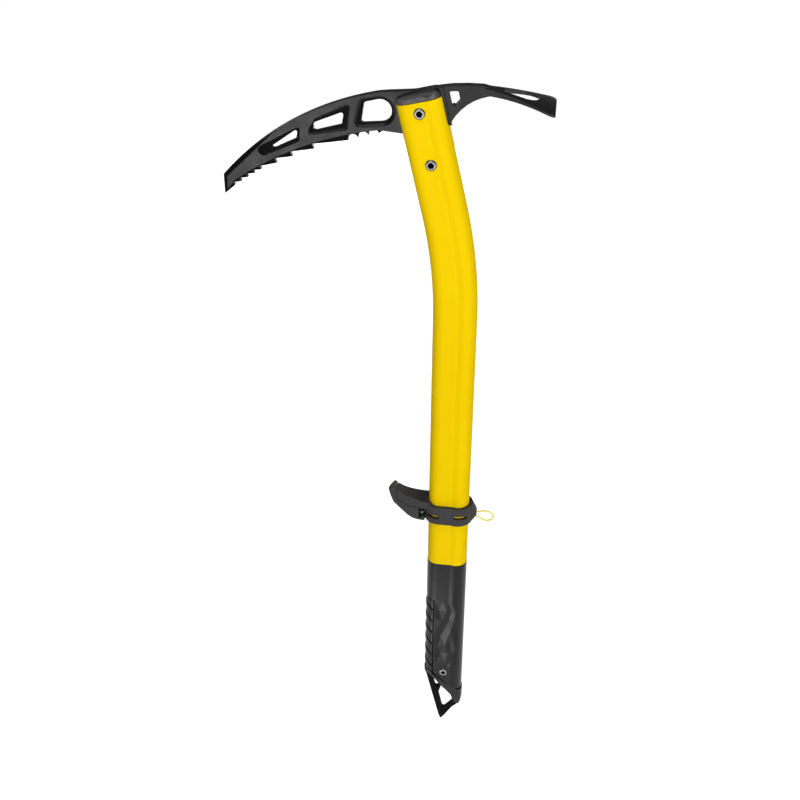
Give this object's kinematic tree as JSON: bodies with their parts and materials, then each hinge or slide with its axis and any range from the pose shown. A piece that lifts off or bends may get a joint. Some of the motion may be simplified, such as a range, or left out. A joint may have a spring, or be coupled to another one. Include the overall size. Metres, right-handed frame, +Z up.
{
  "type": "ice climbing tool",
  "caption": "Bent-shaft ice axe with a forged toothed pick and adze, ribbed grip, spike, and a sliding finger trigger whose hinged hook folds open",
  "frame": {"origin": "middle of the round end of the head's eye, in the middle plane of the tool", "axes": "+Z up along the lower shaft, +X from the pick to the adze, +Y away from the side that carries the bolt heads"},
  "size_m": [0.2056, 0.0362, 0.5288],
  "materials": {
    "shaft_paint": "smooth yellow coat, satin gloss",
    "forged_black": "satin black coat on forged steel",
    "cap_plastic": "fine grained matte plastic",
    "bright_steel": "polished steel",
    "grip_rubber": "matte moulded rubber",
    "spike_steel": "satin black coat on steel plate",
    "trigger_plastic": "fine grained matte plastic",
    "cord_yellow": "thin braided cord"
  },
  "bodies": {
    "tool": {"shaft": "shaft_paint", "head": "forged_black", "near_head_cheek": "cap_plastic", "far_head_cheek": "cap_plastic", "upper_head_bolt": "bright_steel", "lower_head_bolt": "bright_steel", "upper_barrel_nut": "bright_steel", "lower_barrel_nut": "bright_steel", "grip_sleeve": "grip_rubber", "rib_strip": "grip_rubber", "end_ferrule": "cap_plastic", "spike": "spike_steel", "near_tang_shim": "cap_plastic", "far_tang_shim": "cap_plastic", "grip_rivet": "bright_steel"},
    "trigger": {"trigger_band": "trigger_plastic", "lever_pin": "bright_steel", "catch_pin": "bright_steel", "pull_cord": "cord_yellow", "cord_knot": "cord_yellow"},
    "lever": {"trigger_lever": "trigger_plastic"}
  },
  "joints": [
    {"name": "trigger_slide", "type": "slide", "parent": "tool", "child": "trigger", "axis": [0, 0, 1], "range_m": [-0.038, 0.145]},
    {"name": "lever_fold", "type": "hinge", "parent": "trigger", "child": "lever", "pos_m": [0.03068, 0, -0.29965], "axis": [0, -1, 0], "range_deg": [0, 60]}
  ]
}
